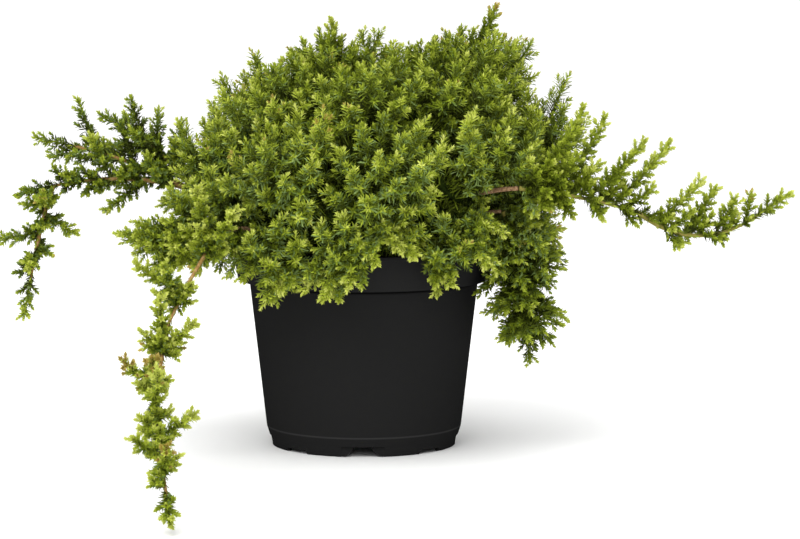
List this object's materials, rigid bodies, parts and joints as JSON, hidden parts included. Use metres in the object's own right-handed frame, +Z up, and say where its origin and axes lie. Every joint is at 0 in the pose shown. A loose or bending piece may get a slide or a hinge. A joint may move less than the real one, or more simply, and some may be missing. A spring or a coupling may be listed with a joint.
{
  "type": "potted juniper",
  "caption": "Young creeping garden juniper with a dense domed crown, runners arching out to both sides and one trailing to the floor in front, in a round black nursery pot.",
  "frame": {"origin": "middle of the pot's flat underside, on the centre pad that it stands on", "axes": "+Z up along the pot's axis; -Y is the side of the plant that faces the viewer, where one runner trails down; +X is to the viewer's right, where the other long runner reaches out"},
  "size_m": [0.5517, 0.4947, 0.3142],
  "materials": {
    "pot": "satin moulded",
    "soil": "rough",
    "bark": "rough",
    "young_wood": "matte",
    "foliage": "matte"
  },
  "bodies": {
    "root": {"pot": "pot", "soil": "soil", "trunk": "bark", "bough_1": "bark", "bough_2": "bark", "bough_3": "bark", "bough_4": "bark", "bough_5": "bark", "bough_6": "bark", "bough_7": "bark", "bough_8": "bark", "bough_9": "bark", "bough_left": "bark", "bough_right": "bark", "bough_hanging": "bark", "bough_trailing": "bark", "leader_1": "young_wood", "leader_2": "young_wood", "leader_3": "young_wood", "skirt_1": "foliage", "skirt_2": "foliage", "skirt_3": "foliage", "skirt_4": "foliage", "skirt_5": "foliage", "skirt_6": "foliage", "skirt_7": "foliage", "skirt_8": "foliage", "skirt_9": "foliage", "shoulder_1": "foliage", "shoulder_2": "foliage", "shoulder_3": "foliage", "shoulder_4": "foliage", "shoulder_5": "foliage", "shoulder_6": "foliage", "shoulder_7": "foliage", "shoulder_8": "foliage", "shoulder_9": "foliage", "upper_1": "foliage", "upper_2": "foliage", "upper_3": "foliage", "upper_4": "foliage", "upper_5": "foliage", "upper_6": "foliage", "upper_7": "foliage", "top_right": "foliage", "top_back": "foliage", "top_left": "foliage", "left_high": "foliage", "left_far": "foliage", "left_arch": "foliage", "left_arch_tip": "foliage", "low_left": "foliage", "trail_upper": "foliage", "trail_middle": "foliage", "trail_tip": "foliage", "right_runner": "foliage", "right_runner_tip": "foliage", "hanging_right": "foliage"}
  },
  "joints": []
}
